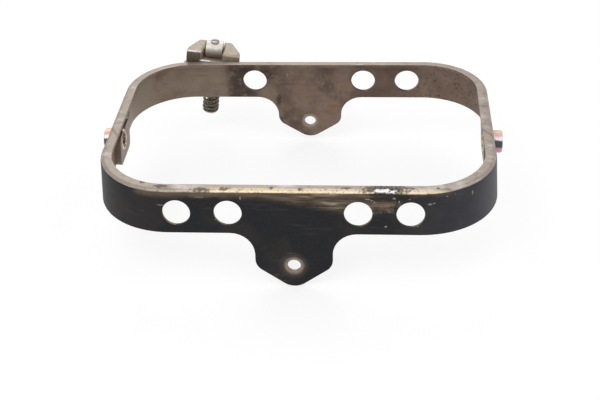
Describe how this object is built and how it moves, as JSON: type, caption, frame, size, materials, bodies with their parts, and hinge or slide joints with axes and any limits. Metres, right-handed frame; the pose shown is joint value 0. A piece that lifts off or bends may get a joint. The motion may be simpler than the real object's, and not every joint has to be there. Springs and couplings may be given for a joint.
{
  "type": "headlight mounting bracket",
  "caption": "Rounded rectangular steel hoop with a turned-in rim, two bolt tongues, side pivot bushes and a sprung aim screw in a swivelling barrel nut.",
  "frame": {"origin": "middle of the pivot axis, between the two side bushes", "axes": "+X towards the right-hand bush, +Y towards the wall with the aim screw, +Z towards the rim; the tongues hang towards -Z"},
  "size_m": [0.213, 0.1609, 0.0639],
  "materials": {
    "black_paint": "worn satin black paint over steel",
    "bare_steel": "aged bare steel, brown",
    "zinc_plate": "iridescent zinc plating",
    "bronzed_steel": "aged plated steel",
    "pale_plate": "pale plating",
    "screw_steel": "dull plated steel",
    "spring_steel": "dark oiled wire"
  },
  "bodies": {
    "frame": {"hoop": "black_paint", "left_pivot_plate": "bare_steel", "right_pivot_plate": "bare_steel", "left_pivot_bush": "zinc_plate", "right_pivot_bush": "zinc_plate", "saddle": "bronzed_steel"},
    "barrel": {"barrel_nut": "pale_plate", "aim_spring": "spring_steel"},
    "screw": {"aim_screw": "screw_steel"}
  },
  "joints": [
    {"name": "aim_swing", "type": "hinge", "parent": "frame", "child": "barrel", "pos_m": [-0.0558, 0.07834, 0.01577], "axis": [0.9903, 0.0097, -0.1388], "range_deg": [-6, 6]},
    {"name": "aim_travel", "type": "slide", "parent": "barrel", "child": "screw", "axis": [0.1392, -0.0691, 0.9879], "range_m": [-0.004, 0.005], "deforming": ["aim_spring"]}
  ]
}
